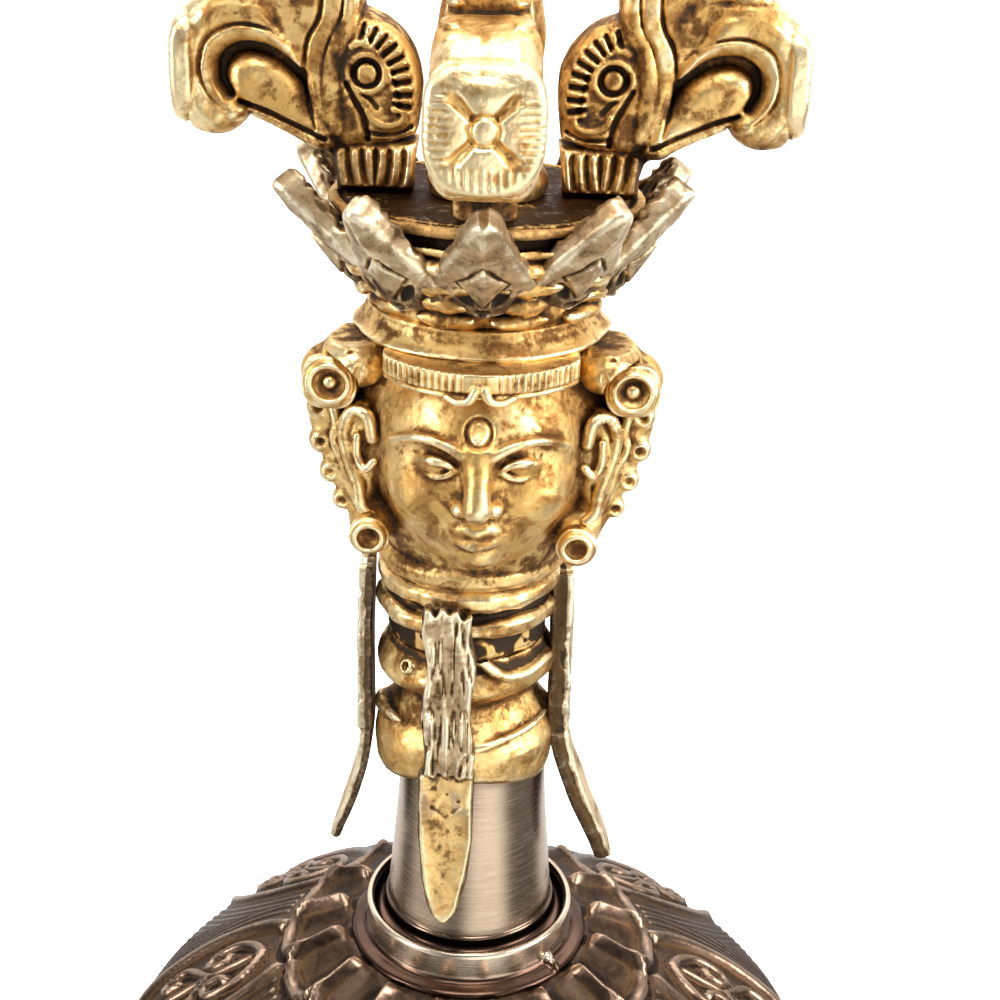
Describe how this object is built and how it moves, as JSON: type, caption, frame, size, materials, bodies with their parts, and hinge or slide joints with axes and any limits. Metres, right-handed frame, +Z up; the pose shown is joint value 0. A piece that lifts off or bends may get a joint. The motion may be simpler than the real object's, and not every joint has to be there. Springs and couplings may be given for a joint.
{
  "type": "hand bell",
  "caption": "Ritual hand bell with a cast bronze bell, a brass handle of ring stack, head, lotus and pronged crown, and a free-swinging clapper inside.",
  "frame": {"origin": "centre of the mouth's circle, in the plane that the rim stands on", "axes": "+Z up along the bell's axis to the crown, -Y towards the side that the head faces, +X to the right of someone who looks at the face"},
  "size_m": [0.093, 0.093, 0.18],
  "materials": {
    "gold_brass": "cast brass, polished on the raised parts, black and brown patina in the recesses",
    "pale_brass": "pale worn brass, chased, with dark crevices",
    "brushed_bronze": "turned and brushed bronze with an antique brown tone",
    "dark_bronze": "cast bell bronze, antique dark brown, rubbed copper on the raised relief",
    "dark_iron": "forged iron, dark, slightly rusted"
  },
  "bodies": {
    "bell": {"bell_body": "dark_bronze", "crown_collar": "brushed_bronze", "crown_washer": "dark_iron", "tie_rod": "dark_iron", "rod_nut": "dark_iron", "ferrule": "brushed_bronze", "neck_vase": "gold_brass", "neck_ring_lower": "gold_brass", "neck_ring_upper": "gold_brass", "head": "gold_brass", "headband": "gold_brass", "hair_roll": "gold_brass", "rosette_left": "gold_brass", "rosette_right": "gold_brass", "earring_left": "gold_brass", "earring_right": "gold_brass", "ribbon_front": "pale_brass", "ribbon_left": "pale_brass", "ribbon_right": "pale_brass", "ribbon_back": "pale_brass", "lotus_bowl": "gold_brass", "lotus_seat": "gold_brass", "lotus_petal_1": "pale_brass", "lotus_petal_2": "pale_brass", "lotus_petal_3": "pale_brass", "lotus_petal_4": "pale_brass", "lotus_petal_5": "pale_brass", "lotus_petal_6": "pale_brass", "lotus_petal_7": "pale_brass", "lotus_petal_8": "pale_brass", "lotus_petal_9": "pale_brass", "lotus_petal_10": "pale_brass", "prong_front": "gold_brass", "prong_left": "gold_brass", "prong_right": "gold_brass", "prong_back": "gold_brass", "centre_prong": "gold_brass", "crown_finial": "gold_brass"},
    "hanger": {"hanger_ring": "dark_iron"},
    "clapper": {"clapper_stem": "dark_iron", "clapper_bob": "dark_iron"}
  },
  "joints": [
    {"name": "hanger_swing", "type": "hinge", "parent": "bell", "child": "hanger", "pos_m": [0, 0, 0.0573], "axis": [1, 0, 0], "range_deg": [-34, 34]},
    {"name": "clapper_sway", "type": "hinge", "parent": "hanger", "child": "clapper", "pos_m": [0, 0, 0.05255], "axis": [0, 1, 0], "range_deg": [-10, 10]}
  ]
}
